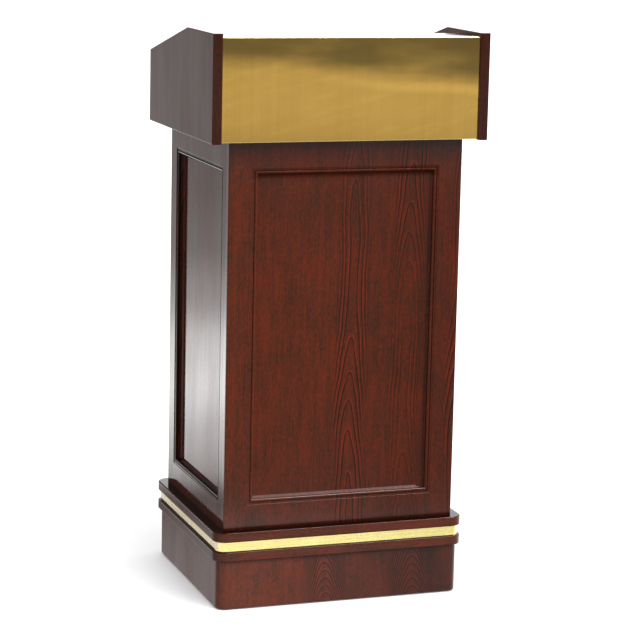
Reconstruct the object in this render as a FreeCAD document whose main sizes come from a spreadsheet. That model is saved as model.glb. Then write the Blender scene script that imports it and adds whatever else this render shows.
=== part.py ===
import FreeCAD, Part
import math
import os
import Sketcher

# Floor-standing wooden pulpit with a brass-clad head and a brass band in its base.
# Millimetres. +Z is up, the floor is z = 0, -Y is the audience side (the brass
# face), +Y is the speaker's side, and the origin is under the middle of the
# overall box.

doc = FreeCAD.newDocument("pulpit")

# ---------------------------------------------------------------- dimensions
DIMENSIONS = [
    # overall
    ("total_height", 1194, "floor to the flat top of the cheeks"),
    ("total_depth", 475, "cheeks, front to back"),
    ("head_width", 595, "over both cheeks"),
    # base
    ("base_shift", 2.5, "middle of the base and body behind the origin"),
    ("floor_gap", 2.5, "skirt above the floor, taken up by the glides"),
    ("skirt_width", 535, "plinth skirt, outside"),
    ("skirt_depth", 454, "plinth skirt, outside"),
    ("skirt_height", 103, "plinth skirt"),
    ("skirt_wall", 15, "plinth skirt wall"),
    ("skirt_round", 20, "outer corner radius of the skirt"),
    ("cap_width", 551, "lower board and ledge board"),
    ("cap_depth", 470, "lower board and ledge board"),
    ("cap_thick", 20.5, "lower board and ledge board"),
    ("cap_round", 27, "corner radius of the two boards"),
    ("cap_ease", 2.5, "rounding of the boards' long edges"),
    ("band_height", 21, "brass band between the two boards"),
    ("band_inset", 5.5, "band behind the edge of the boards"),
    ("band_thick", 1, "brass strip"),
    # body
    ("body_width", 507, "over both side panels"),
    ("body_depth", 428, "front panel face to the rear edge"),
    ("panel_thick", 18, "panels, shelf, desk and head floor"),
    ("panel_ease", 3, "rounding of the panels' outer upright edges"),
    ("stile_front", 51, "plain border left and right of the front recess"),
    ("rail_low", 52, "plain border under a recess"),
    ("rail_high", 53, "plain border over a recess"),
    ("side_stile_front", 22.5, "plain border of the side panel, front"),
    ("side_stile_rear", 44.5, "plain border of the side panel, rear"),
    ("recess_depth", 12, "field of the panel behind its face"),
    ("lip_depth", 1, "moulding: its outer flat and bead behind the face"),
    ("lip_width", 3.4, "moulding: outer flat"),
    ("quirk_depth", 3.2, "moulding: narrow groove outside the bead"),
    ("quirk_width", 1.8, "moulding: narrow groove outside the bead"),
    ("bead_width", 5.6, "moulding: bead"),
    ("bead_round_outer", 2.1, "moulding: rounding of the bead towards the groove"),
    ("bead_round_inner", 3.2, "moulding: rounding of the bead towards the field"),
    ("lip_round", 0.8, "moulding: rounding of its outer edge"),
    ("inner_depth", 7, "moulding: narrow flat inside the bead"),
    ("inner_width", 0.4, "moulding: narrow flat inside the bead"),
    ("slope_width", 4.6, "moulding: slope down to the field"),
    # shelf
    ("shelf_top_height", 578.1, "upper face of the shelf"),
    ("shelf_play", 1, "gap at each end of the shelf"),
    ("shelf_depth", 388, "front to back"),
    ("pin_diameter", 5, "shelf pin"),
    ("pin_pitch", 32, "between shelf pin holes"),
    # head
    ("cheek_thick", 20.5, "side cheeks of the head"),
    ("cheek_height", 221, "cheeks, over their flat top"),
    ("cheek_flat", 189, "level part of the cheek's top edge"),
    ("cheek_back_height", 154.5, "cheeks at the speaker's edge"),
    ("cheek_ease", 1.5, "rounding of the cheek's edges"),
    ("brass_thick", 1.2, "folded brass face"),
    ("brass_setback", 5, "brass face behind the cheek's front edge"),
    ("brass_lift", 2, "brass face above the cheek's lower edge"),
    ("brass_height", 211, "brass face"),
    ("brass_top_lap", 39, "brass lapped over the flat top"),
    ("brass_low_lap", 18.5, "brass lapped under the face board"),
    ("desk_drop", 25.2, "reading surface under the cheek's sloping edge"),
    ("desk_rear_inset", 9.5, "desk's lower end in front of the cheek's rear edge"),
    ("stop_height", 18, "book stop above the reading surface"),
    ("stop_thick", 16, "book stop"),
    ("cleat_size", 20, "cleats under the desk"),
    # glides
    ("glide_diameter", 40, "nylon pad"),
    ("glide_pad_height", 8, "nylon pad"),
    ("glide_stem_diameter", 8, "threaded stem"),
    ("block_size", 45, "corner block in the plinth"),
]

sheet = doc.addObject("Spreadsheet::Sheet", "dims")
sheet.Label = "dims"
number = {}
for row, (alias, value, note) in enumerate(DIMENSIONS, start=1):
    sheet.set("A%d" % row, alias)
    sheet.set("B%d" % row, str(value))
    sheet.set("C%d" % row, note)
    sheet.setAlias("B%d" % row, alias)
    number[alias] = float(value)
doc.recompute()

# Levels and lines that several pieces share, as expressions of the sheet.
Z_CAP = "(dims.floor_gap + dims.skirt_height)"
Z_BAND = "(%s + dims.cap_thick)" % Z_CAP
Z_LEDGE = "(%s + dims.band_height)" % Z_BAND
Z_BODY = "(%s + dims.cap_thick)" % Z_LEDGE
Z_HEAD = "(dims.total_height - dims.cheek_height)"
BODY_HEIGHT = "(%s - %s)" % (Z_HEAD, Z_BODY)
Y_BODY = "(dims.base_shift - dims.body_depth / 2 - 0.5)"
Y_BODY_REAR = "(%s + dims.body_depth)" % Y_BODY
Y_HEAD = "(-dims.total_depth / 2)"
X_IN = "(dims.head_width / 2 - dims.cheek_thick)"
SPAN = "(dims.head_width - 2 * dims.cheek_thick)"
Y_FACE = "(%s + dims.brass_setback)" % Y_HEAD
Y_BOARD = "(%s + dims.brass_thick)" % Y_FACE
Z_BRASS = "(%s + dims.brass_lift)" % Z_HEAD
Z_TOP = "(%s + dims.brass_height)" % Z_BRASS
BODY_INSIDE = "(dims.body_width / 2 - dims.panel_thick)"

# The same levels as numbers, for the small hardware.
z_cap = number["floor_gap"] + number["skirt_height"]
z_ledge_top = z_cap + 2 * number["cap_thick"] + number["band_height"]
z_head = number["total_height"] - number["cheek_height"]
y_front = -number["total_depth"] / 2
y_rear = number["total_depth"] / 2
y_body = number["base_shift"] - number["body_depth"] / 2 - 0.5
x_cheek = number["head_width"] / 2 - number["cheek_thick"]
x_panel = number["body_width"] / 2 - number["panel_thick"] / 2

made = []


# ------------------------------------------------------------------- helpers
def keep(item):
    """List an object as one piece of the pulpit."""
    made.append(item)
    return item


def new_body(label, is_piece=True):
    item = doc.addObject("PartDesign::Body", label)
    item.Label = label
    return keep(item) if is_piece else item


def place(item, x="0", y="0", z="0"):
    """Bind an object's position to the sheet."""
    item.setExpression("Placement.Base.x", x)
    item.setExpression("Placement.Base.y", y)
    item.setExpression("Placement.Base.z", z)


def plane_of(body, role):
    for feature in body.Origin.OriginFeatures:
        if feature.Role == role:
            return feature
    raise RuntimeError("no plane " + role)


def new_sketch(body, name, role, offset="0"):
    sketch = body.newObject("Sketcher::SketchObject", name)
    sketch.AttachmentSupport = [(plane_of(body, role), "")]
    sketch.MapMode = "FlatFace"
    sketch.setExpression("AttachmentOffset.Base.z", offset)
    return sketch


def bind(sketch, constraint, expression):
    index = sketch.addConstraint(constraint)
    sketch.setExpression("Constraints[%d]" % index, expression)


def polygon(sketch, points):
    """Closed outline through points, given as pairs of (number, expression)."""
    first = sketch.GeometryCount
    count = len(points)
    rough = [FreeCAD.Vector(p[0][0], p[1][0], 0) for p in points]
    for i in range(count):
        sketch.addGeometry(Part.LineSegment(rough[i], rough[(i + 1) % count]), False)
    for i in range(count):
        sketch.addConstraint(
            Sketcher.Constraint("Coincident", first + i, 2, first + (i + 1) % count, 1)
        )
    for i, (across, up) in enumerate(points):
        for kind, (guess, expression) in (("DistanceX", across), ("DistanceY", up)):
            if expression == "0":
                on_axis = -2 if kind == "DistanceX" else -1
                sketch.addConstraint(
                    Sketcher.Constraint("PointOnObject", first + i, 1, on_axis)
                )
            else:
                bind(
                    sketch,
                    Sketcher.Constraint(kind, -1, 1, first + i, 1, guess),
                    expression,
                )


def rectangle(sketch, width, height, left=(0.0, "0"), low=(0.0, "0")):
    """Rectangle from sizes and a corner, each a (number, expression) pair."""
    right = (left[0] + width[0], "(%s) + (%s)" % (left[1], width[1]))
    high = (low[0] + height[0], "(%s) + (%s)" % (low[1], height[1]))
    polygon(sketch, [(left, low), (right, low), (right, high), (left, high)])


def pad(body, sketch, length, reversed_way=False):
    feature = body.newObject("PartDesign::Pad", sketch.Name + "_pad")
    feature.Profile = sketch
    feature.Reversed = reversed_way
    feature.setExpression("Length", length)
    sketch.Visibility = False
    doc.recompute()
    return feature


def pocket(body, sketch, depth, reversed_way=False, taper=None):
    """Cut a sketch into the body, and check that it took material away."""
    before = body.Shape.Volume
    feature = body.newObject("PartDesign::Pocket", sketch.Name + "_cut")
    feature.Profile = sketch
    feature.Reversed = reversed_way
    feature.setExpression("Length", depth)
    if taper:
        feature.setExpression("TaperAngle", taper)
    sketch.Visibility = False
    doc.recompute()
    if body.Shape.Volume >= before - 1.0:
        raise RuntimeError("%s cuts nothing" % feature.Name)
    return feature


def edges_where(shape, test):
    """Names of a shape's edges whose end points and middle all pass a test."""
    names = []
    for i, edge in enumerate(shape.Edges, start=1):
        middle = edge.valueAt((edge.FirstParameter + edge.LastParameter) / 2)
        points = [v.Point for v in edge.Vertexes] + [middle]
        if all(test(p) for p in points):
            names.append("Edge%d" % i)
    return names


def round_edges(body, name, radius, names):
    """Fillet on named edges of the body as it stands."""
    if not names:
        raise RuntimeError("no edge for " + name)
    before = body.Tip
    feature = body.newObject("PartDesign::Fillet", name)
    feature.Base = (before, names)
    feature.setExpression("Radius", radius)
    doc.recompute()
    return feature


def fillet(body, name, radius, test):
    return round_edges(body, name, radius, edges_where(body.Tip.Shape, test))


def near(a, b):
    return abs(a - b) < 0.01


def cylinder(name, diameter, length, at, axis=(0, 0, 1), diameter_bound=None):
    item = doc.addObject("Part::Cylinder", name)
    item.Radius = diameter / 2
    item.Height = length
    if diameter_bound:
        item.setExpression("Radius", diameter_bound + " / 2")
    turn = FreeCAD.Rotation(FreeCAD.Vector(0, 0, 1), FreeCAD.Vector(*axis))
    item.Placement = FreeCAD.Placement(FreeCAD.Vector(*at), turn)
    return item


def fuse(name, shapes):
    item = doc.addObject("Part::MultiFuse", name)
    item.Shapes = shapes
    item.Refine = True
    return item


def cut(name, base, tools):
    """Base minus one tool or several."""
    item = doc.addObject("Part::Cut", name)
    item.Base = base
    item.Tool = tools[0] if len(tools) == 1 else fuse(name + "_tools", tools)
    return item


def group(label, items):
    """Identical small pieces that share one name."""
    item = doc.addObject("Part::Compound", label)
    item.Label = label
    item.Links = items
    return keep(item)


def drill(body, name, role, offset, centres, radius, depth, reversed_way=False):
    """Round blind holes of one radius, at (across, up) points of a plane."""
    sketch = new_sketch(body, name, role, offset)
    for i, (across, up) in enumerate(centres):
        circle = Part.Circle(
            FreeCAD.Vector(across, up, 0), FreeCAD.Vector(0, 0, 1), radius
        )
        sketch.addGeometry(circle, False)
        sketch.addConstraint(Sketcher.Constraint("DistanceX", -1, 1, i, 3, across))
        sketch.addConstraint(Sketcher.Constraint("DistanceY", -1, 1, i, 3, up))
        sketch.addConstraint(Sketcher.Constraint("Radius", i, radius))
    return pocket(body, sketch, depth, reversed_way)


def rounded_slab(label, width, depth, thick, radius, base_z, is_piece=True):
    """Board with rounded plan corners, centred on the base."""
    body = new_body(label, is_piece)
    sketch = new_sketch(body, label + "_plan", "XY_Plane")
    rectangle(sketch, (500.0, width), (450.0, depth))
    pad(body, sketch, thick)
    uprights = [
        "Edge%d" % i
        for i, edge in enumerate(body.Shape.Edges, start=1)
        if near(edge.BoundBox.XLength + edge.BoundBox.YLength, 0.0)
    ]
    round_edges(body, label + "_corners", radius, uprights)
    place(
        body,
        "-(%s) / 2" % width,
        "dims.base_shift - (%s) / 2" % depth,
        base_z,
    )
    doc.recompute()
    return body


# ---------------------------------------------------------------------- base
SCREW_ROWS = (-130.0, 2.0, 134.0)
base_screw_spots = [(side * x_panel, y) for side in (-1, 1) for y in SCREW_ROWS]


def screw_spots_in(body_width, body_depth):
    """The base screws' places in a centred slab's own corner frame."""
    return [
        (x + body_width / 2, y - number["base_shift"] + body_depth / 2)
        for x, y in base_screw_spots
    ]


skirt = rounded_slab(
    "plinth_skirt",
    "dims.skirt_width",
    "dims.skirt_depth",
    "dims.skirt_height",
    "dims.skirt_round",
    "dims.floor_gap",
)
hollow = new_sketch(skirt, "plinth_hollow", "XY_Plane", "dims.skirt_height")
rectangle(
    hollow,
    (505.0, "dims.skirt_width - 2 * dims.skirt_wall"),
    (424.0, "dims.skirt_depth - 2 * dims.skirt_wall"),
    (15.0, "dims.skirt_wall"),
    (15.0, "dims.skirt_wall"),
)
pocket(skirt, hollow, "dims.skirt_height")
skirt_wall = number["skirt_wall"]


def is_inner_upright(point):
    across = (point.x, number["skirt_width"] - point.x)
    along = (point.y, number["skirt_depth"] - point.y)
    return near(min(across), skirt_wall) and near(min(along), skirt_wall)


# Work in the body's own frame: the placement moves only the finished body.
fillet(
    skirt,
    "plinth_inner_corners",
    "dims.skirt_round - dims.skirt_wall",
    is_inner_upright,
)
skirt_foot = [
    name
    for name, edge in (
        ("Edge%d" % i, e) for i, e in enumerate(skirt.Tip.Shape.Edges, start=1)
    )
    if near(edge.BoundBox.ZMax, 0.0)
    and (
        min(edge.BoundBox.XMin, edge.BoundBox.YMin) < skirt_wall - 5.0
        or edge.BoundBox.XMax > number["skirt_width"] - skirt_wall + 5.0
        or edge.BoundBox.YMax > number["skirt_depth"] - skirt_wall + 5.0
    )
]
round_edges(skirt, "plinth_foot_round", "2", skirt_foot)


def ease_slab(body, name, width, depth):
    """Round the two long outlines of a slab."""
    outline = []
    for i, edge in enumerate(body.Tip.Shape.Edges, start=1):
        box = edge.BoundBox
        flat = near(box.ZLength, 0.0)
        outside = (
            box.XMin < 1.0 or box.YMin < 1.0
            or box.XMax > width - 1.0 or box.YMax > depth - 1.0
        )
        if flat and outside:
            outline.append("Edge%d" % i)
    round_edges(body, name, "dims.cap_ease", outline)


cap_w = number["cap_width"]
cap_d = number["cap_depth"]
SCREW_HOLE_R = 3.1
for label, level in (("lower_board", Z_CAP), ("ledge_board", Z_LEDGE)):
    slab = rounded_slab(
        label,
        "dims.cap_width",
        "dims.cap_depth",
        "dims.cap_thick",
        "dims.cap_round",
        level,
    )
    ease_slab(slab, label + "_ease", cap_w, cap_d)
    drill(
        slab,
        label + "_screw_holes",
        "XY_Plane",
        "dims.cap_thick",
        screw_spots_in(cap_w, cap_d),
        SCREW_HOLE_R,
        "dims.cap_thick",
    )

core_width = "dims.cap_width - 2 * dims.band_inset - 2 * dims.band_thick"
core_depth = "dims.cap_depth - 2 * dims.band_inset - 2 * dims.band_thick"
core = rounded_slab(
    "band_core",
    core_width,
    core_depth,
    "dims.band_height",
    "dims.cap_round - dims.band_inset - dims.band_thick",
    Z_BAND,
)
core_w = cap_w - 2 * number["band_inset"] - 2 * number["band_thick"]
core_d = cap_d - 2 * number["band_inset"] - 2 * number["band_thick"]
drill(
    core,
    "band_core_screw_holes",
    "XY_Plane",
    "dims.band_height",
    screw_spots_in(core_w, core_d),
    SCREW_HOLE_R,
    "dims.band_height",
)

band_blank = rounded_slab(
    "band_blank",
    "dims.cap_width - 2 * dims.band_inset",
    "dims.cap_depth - 2 * dims.band_inset",
    "dims.band_height",
    "dims.cap_round - dims.band_inset",
    Z_BAND,
    False,
)
band_void = rounded_slab(
    "band_void",
    core_width,
    core_depth,
    "dims.band_height",
    "dims.cap_round - dims.band_inset - dims.band_thick",
    Z_BAND,
    False,
)
keep(cut("brass_band", band_blank, [band_void]))

# Plinth corner blocks, threaded inserts and levelling glides.
INSERT_R = 5.0
FIT_GAP = 0.05
BLOCK_LIFT = 10.0
INSERT_LENGTH = 20.0
INSERT_FLANGE_R = 10.0
INSERT_FLANGE_T = 1.5
STEM_TOP = 60.0
BLOCK_CHAMFER = 8.0
block = number["block_size"]
block_low = number["floor_gap"] + BLOCK_LIFT
block_high = z_cap
in_x = number["skirt_width"] / 2 - skirt_wall
in_y = number["skirt_depth"] / 2 - skirt_wall
CORNERS = (
    ("front_left", -1, -1),
    ("front_right", 1, -1),
    ("rear_left", -1, 1),
    ("rear_right", 1, 1),
)
blocks = []
inserts = []
for corner, sx, sy in CORNERS:
    cx = sx * (in_x - block / 2)
    cy = number["base_shift"] + sy * (in_y - block / 2)
    solid = doc.addObject("Part::Box", "block_" + corner)
    solid.setExpression("Length", "dims.block_size")
    solid.setExpression("Width", "dims.block_size")
    solid.Height = block_high - block_low
    solid.Placement.Base = FreeCAD.Vector(cx - block / 2, cy - block / 2, block_low)
    doc.recompute()
    corner_x = cx + sx * block / 2
    corner_y = cy + sy * block / 2
    upright = [
        i
        for i, edge in enumerate(solid.Shape.Edges, start=1)
        if near(edge.BoundBox.XMin, corner_x)
        and near(edge.BoundBox.XMax, corner_x)
        and near(edge.BoundBox.YMin, corner_y)
        and near(edge.BoundBox.YMax, corner_y)
    ]
    bevel = doc.addObject("Part::Chamfer", "block_bevel_" + corner)
    bevel.Base = solid
    bevel.Edges = [(upright[0], BLOCK_CHAMFER, BLOCK_CHAMFER)]
    well = cylinder(
        "block_well_" + corner,
        2 * (INSERT_R + FIT_GAP),
        STEM_TOP + 15.0 - block_low,
        (cx, cy, block_low),
    )
    blocks.append(cut("block_bored_" + corner, bevel, [well]))
    flange = cylinder(
        "insert_flange_" + corner,
        2 * INSERT_FLANGE_R,
        INSERT_FLANGE_T,
        (cx, cy, block_low - INSERT_FLANGE_T),
    )
    sleeve = cylinder(
        "insert_sleeve_" + corner, 2 * INSERT_R, INSERT_LENGTH, (cx, cy, block_low)
    )
    thread = cylinder(
        "insert_thread_" + corner,
        number["glide_stem_diameter"] + 2 * FIT_GAP,
        INSERT_LENGTH + INSERT_FLANGE_T,
        (cx, cy, block_low - INSERT_FLANGE_T),
    )
    inserts.append(
        cut("insert_" + corner, fuse("insert_body_" + corner, [flange, sleeve]), [thread])
    )

    # Pad with a bevelled rim and a socket for the stem.
    radius = number["glide_diameter"] / 2
    pad_height = number["glide_pad_height"]
    lower = cylinder(
        "pad_foot_" + corner,
        2 * radius,
        pad_height - 3.0,
        (cx, cy, 0),
        diameter_bound="dims.glide_diameter",
    )
    upper = doc.addObject("Part::Cone", "pad_crown_" + corner)
    upper.Radius1 = radius
    upper.Radius2 = radius - 6.0
    upper.Height = 3.0
    upper.Placement.Base = FreeCAD.Vector(cx, cy, pad_height - 3.0)
    socket = cylinder(
        "pad_socket_" + corner,
        number["glide_stem_diameter"] + 2 * FIT_GAP,
        pad_height,
        (cx, cy, 3.0),
    )
    glide_pad = cut(
        "glide_pad_" + corner, fuse("pad_body_" + corner, [lower, upper]), [socket]
    )
    glide_pad.Label = "glide_pad_" + corner
    keep(glide_pad)
    stem = cylinder(
        "stem_rod_" + corner,
        number["glide_stem_diameter"],
        STEM_TOP - 3.0,
        (cx, cy, 3.0),
        diameter_bound="dims.glide_stem_diameter",
    )
    collar = doc.addObject("Part::Prism", "stem_hex_" + corner)
    collar.Polygon = 6
    collar.Circumradius = 7.5
    collar.Height = 2.4
    collar.Placement.Base = FreeCAD.Vector(cx, cy, pad_height)
    glide_stem = fuse("glide_stem_" + corner, [stem, collar])
    glide_stem.Label = "glide_stem_" + corner
    keep(glide_stem)
group("plinth_corner_blocks", blocks)
group("glide_inserts", inserts)

# Long screws up through the base boards into the side panels.
BASE_SCREW_R = 3.0
BASE_SCREW_LENGTH = 100.0
base_screws = []
for i, (x, y) in enumerate(base_screw_spots):
    head = cylinder("base_screw_head_%d" % i, 10.0, 2.5, (x, y, z_cap - 2.5))
    rod = cylinder(
        "base_screw_rod_%d" % i, 2 * BASE_SCREW_R, BASE_SCREW_LENGTH, (x, y, z_cap)
    )
    base_screws.append(fuse("base_screw_%d" % i, [head, rod]))
group("base_screws", base_screws)
base_screw_depth = z_cap + BASE_SCREW_LENGTH - z_ledge_top + 1.0


# ---------------------------------------------------------------------- body
def inset(pair, share, amount):
    """A (number, expression) pair changed by a multiple of another pair."""
    return (
        pair[0] + share * amount[0],
        "(%s) + (%d) * (%s)" % (pair[1], share, amount[1]),
    )


def from_sheet(names):
    """Sum of sheet values as a (number, expression) pair."""
    total = sum(number[n] for n in names)
    return (total, " + ".join("dims." + n for n in names) or "0")


def recess(body, name, role, face_offset, inward, reversed_way, size, corner, spot):
    """Routed panel with a moulded border, then a flat field.

    From outside in, the border is a shallow flat, a groove, a bead, a narrow
    flat and a slope. face_offset places the face on the plane's axis and
    inward is +1 or -1, the way along that axis that goes into the panel. spot
    turns a point of the body into (across, up, depth).
    """

    def outline(sketch, parts):
        amount = from_sheet(parts)
        rectangle(
            sketch,
            inset(size[0], -2, amount),
            inset(size[1], -2, amount),
            inset(corner[0], 1, amount),
            inset(corner[1], 1, amount),
        )

    def sunk(part, depth="0"):
        offset = "(%s) + (%d) * (%s)" % (face_offset, inward, depth)
        return new_sketch(body, name + "_" + part, role, offset)

    outer = ["lip_width"]
    groove_end = outer + ["quirk_width"]
    bead_end = groove_end + ["bead_width"]
    slope_start = bead_end + ["inner_width"]
    lip = sunk("lip")
    outline(lip, [])
    pocket(body, lip, "dims.lip_depth", reversed_way)
    quirk = sunk("quirk")
    outline(quirk, outer)
    outline(quirk, groove_end)
    pocket(body, quirk, "dims.quirk_depth", reversed_way)
    step = sunk("step")
    outline(step, bead_end)
    pocket(body, step, "dims.inner_depth", reversed_way)
    field = sunk("field", "dims.inner_depth")
    outline(field, slope_start)
    drop = "(dims.recess_depth - dims.inner_depth)"
    slope = "-atan(dims.slope_width / %s)" % drop
    pocket(body, field, drop, reversed_way, slope)

    def on_ring(parts, depth):
        amount = from_sheet(parts)[0]

        def test(point):
            across, up, deep = spot(point)
            gaps = (
                across - corner[0][0],
                corner[0][0] + size[0][0] - across,
                up - corner[1][0],
                corner[1][0] + size[1][0] - up,
            )
            return near(min(gaps), amount) and near(deep, depth)

        return test

    lip_depth = number["lip_depth"]
    fillet(body, name + "_lip_round", "dims.lip_round", on_ring([], 0.0))
    for part, ring in (("outer", groove_end), ("inner", bead_end)):
        fillet(
            body,
            "%s_bead_%s" % (name, part),
            "dims.bead_round_" + part,
            on_ring(ring, lip_depth),
        )


body_height = z_head - z_ledge_top
recess_height = body_height - number["rail_low"] - number["rail_high"]
front = new_body("body_front_panel")
front_plan = new_sketch(front, "front_outline", "XZ_Plane")
rectangle(front_plan, (507.0, "dims.body_width"), (805.0, BODY_HEIGHT))
pad(front, front_plan, "dims.panel_thick", True)
fillet(
    front,
    "front_upright_round",
    "dims.panel_ease",
    lambda p: near(p.y, 0.0) and (near(p.x, 0.0) or near(p.x, number["body_width"])),
)
recess(
    front,
    "front_recess",
    "XZ_Plane",
    "0",
    -1,
    False,
    (
        (
            number["body_width"] - 2 * number["stile_front"],
            "dims.body_width - 2 * dims.stile_front",
        ),
        (recess_height, "%s - dims.rail_low - dims.rail_high" % BODY_HEIGHT),
    ),
    (
        (number["stile_front"], "dims.stile_front"),
        (number["rail_low"], "dims.rail_low"),
    ),
    lambda p: (p.x, p.z, p.y),
)
place(front, "-dims.body_width / 2", Y_BODY, Z_BODY)

HEAD_SCREW_X = 130.0
HEAD_SCREW_R = 2.0
HEAD_SCREW_LENGTH = 45.0
panel_t = number["panel_thick"]
head_screw_bite = HEAD_SCREW_LENGTH - panel_t + 1.0
drill(
    front,
    "front_top_pilots",
    "XY_Plane",
    BODY_HEIGHT,
    [
        (number["body_width"] / 2 - HEAD_SCREW_X, panel_t / 2),
        (number["body_width"] / 2 + HEAD_SCREW_X, panel_t / 2),
    ],
    HEAD_SCREW_R,
    str(head_screw_bite),
)

SIDE_DEPTH = "(dims.body_depth - dims.panel_thick)"
side_depth = number["body_depth"] - panel_t
side_start = y_body + panel_t
side_field = side_depth - number["side_stile_front"] - number["side_stile_rear"]
HEAD_SCREW_ROWS = (-120.0, 6.0, 132.0)
PIN_ROWS = (-182.0, 194.0)
PIN_LEVELS = (-2, -1, 0, 1, 2)
pin_z = number["shelf_top_height"] - panel_t - 0.1 - number["pin_diameter"] / 2
PIN_HOLE_DEPTH = 10.0
for label, is_left in (("body_side_left", True), ("body_side_right", False)):
    side = new_body(label)
    outline = new_sketch(side, label + "_outline", "YZ_Plane")
    rectangle(outline, (410.0, SIDE_DEPTH), (805.0, BODY_HEIGHT))
    pad(side, outline, "dims.panel_thick")
    outer_x = 0.0 if is_left else panel_t
    fillet(
        side,
        label + "_rear_round",
        "dims.panel_ease",
        lambda p: near(p.x, outer_x) and near(p.y, side_depth),
    )
    recess(
        side,
        label + "_recess",
        "YZ_Plane",
        "0" if is_left else "dims.panel_thick",
        1 if is_left else -1,
        is_left,
        (
            (
                side_field,
                "%s - dims.side_stile_front - dims.side_stile_rear" % SIDE_DEPTH,
            ),
            (recess_height, "%s - dims.rail_low - dims.rail_high" % BODY_HEIGHT),
        ),
        (
            (number["side_stile_front"], "dims.side_stile_front"),
            (number["rail_low"], "dims.rail_low"),
        ),
        lambda p: (p.y, p.z, p.x if is_left else panel_t - p.x),
    )
    holes = [
        (y - side_start, pin_z - z_ledge_top + level * number["pin_pitch"])
        for y in PIN_ROWS
        for level in PIN_LEVELS
    ]
    drill(
        side,
        label + "_pin_holes",
        "YZ_Plane",
        "dims.panel_thick" if is_left else "0",
        holes,
        number["pin_diameter"] / 2 + FIT_GAP,
        str(PIN_HOLE_DEPTH),
        not is_left,
    )
    drill(
        side,
        label + "_top_pilots",
        "XY_Plane",
        BODY_HEIGHT,
        [(panel_t / 2, y - side_start) for y in HEAD_SCREW_ROWS],
        HEAD_SCREW_R,
        str(head_screw_bite),
    )
    drill(
        side,
        label + "_foot_pilots",
        "XY_Plane",
        "0",
        [(panel_t / 2, y - side_start) for y in SCREW_ROWS],
        BASE_SCREW_R + FIT_GAP,
        str(base_screw_depth),
        True,
    )
    x_place = "-dims.body_width / 2" if is_left else BODY_INSIDE
    place(side, x_place, "%s + dims.panel_thick" % Y_BODY, Z_BODY)
doc.recompute()

# Glue blocks in the front corners, clear of the shelf.
GLUE = 18.0
GLUE_LENGTH = 120.0
glue_blocks = []
for side_sign in (-1, 1):
    for spot, low in (("low", z_ledge_top), ("high", z_head - GLUE_LENGTH)):
        name = "glue_%s_%s" % ("left" if side_sign < 0 else "right", spot)
        stick = doc.addObject("Part::Box", name)
        stick.Length = GLUE
        stick.Width = GLUE
        stick.Height = GLUE_LENGTH
        inner = number["body_width"] / 2 - panel_t
        x_low = -inner if side_sign < 0 else inner - GLUE
        stick.Placement.Base = FreeCAD.Vector(x_low, y_body + panel_t, low)
        glue_blocks.append(stick)
group("glue_blocks", glue_blocks)

rail = new_body("rear_top_rail")
rail_plan = new_sketch(rail, "rail_outline", "XZ_Plane")
RAIL_HEIGHT = 60.0
rectangle(rail_plan, (471.0, "2 * " + BODY_INSIDE), (RAIL_HEIGHT, str(RAIL_HEIGHT)))
pad(rail, rail_plan, "dims.panel_thick", True)
place(
    rail,
    "-" + BODY_INSIDE,
    "%s - dims.panel_thick" % Y_BODY_REAR,
    "%s - %s" % (Z_HEAD, RAIL_HEIGHT),
)

shelf = new_body("shelf")
shelf_plan = new_sketch(shelf, "shelf_outline", "XY_Plane")
rectangle(
    shelf_plan,
    (469.0, "2 * (%s - dims.shelf_play)" % BODY_INSIDE),
    (388.0, "dims.shelf_depth"),
)
pad(shelf, shelf_plan, "dims.panel_thick")
place(
    shelf,
    "-(%s - dims.shelf_play)" % BODY_INSIDE,
    "%s + dims.panel_thick + 6" % Y_BODY,
    "dims.shelf_top_height - dims.panel_thick",
)
fillet(
    shelf,
    "shelf_rear_round",
    "1.5",
    lambda p: near(p.y, number["shelf_depth"])
    and (near(p.z, 0.0) or near(p.z, panel_t)),
)

pins = []
PIN_REACH = 10.0
for side_sign in (-1, 1):
    for y in PIN_ROWS:
        wall = side_sign * (number["body_width"] / 2 - panel_t)
        tag = "%s_%s" % ("left" if side_sign < 0 else "right", int(y > 0))
        peg = cylinder(
            "pin_peg_" + tag,
            number["pin_diameter"],
            PIN_HOLE_DEPTH - 1.0 + PIN_REACH,
            (wall + side_sign * (PIN_HOLE_DEPTH - 1.0), y, pin_z),
            (-side_sign, 0, 0),
            diameter_bound="dims.pin_diameter",
        )
        pins.append(peg)
group("shelf_pins", pins)

# ---------------------------------------------------------------------- head
# Dowels join the head floor and the face board to the cheeks.
DOWEL_R = 4.0
DOWEL_IN_CHEEK = 14.0
DOWEL_IN_BOARD = 20.0
DOWEL_ROWS = (-180.0, -40.0, 100.0, 205.0)
FACE_DOWEL_HEIGHTS = (45.0, 145.0)
floor_mid_z = z_head + panel_t / 2
face_board_y = y_front + number["brass_setback"] + number["brass_thick"]
face_mid_y = face_board_y + panel_t / 2
dowel_spots = [(y, floor_mid_z) for y in DOWEL_ROWS]
dowel_spots += [(face_mid_y, z_head + up) for up in FACE_DOWEL_HEIGHTS]

slope = (number["cheek_height"] - number["cheek_back_height"]) / (
    number["total_depth"] - number["cheek_flat"]
)
peak_y = y_front + number["cheek_flat"]


def desk_z(y):
    """Height of the reading surface over a place front to back."""
    return number["total_height"] - number["desk_drop"] - (y - peak_y) * slope


z_top = z_head + number["brass_lift"] + number["brass_height"]
desk_start = peak_y + (desk_z(peak_y) - z_top) / slope
desk_end = y_rear - number["desk_rear_inset"]
desk_fall = panel_t / math.cos(math.atan(slope))
cleat_start = -95.0
cleat_end = 195.0
CLEAT_SCREW_ROWS = (-75.0, 50.0, 175.0)
CLEAT_SCREW_R = 2.0


def cleat_mid(y):
    return desk_z(y) - desk_fall - number["cleat_size"] / 2


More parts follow.
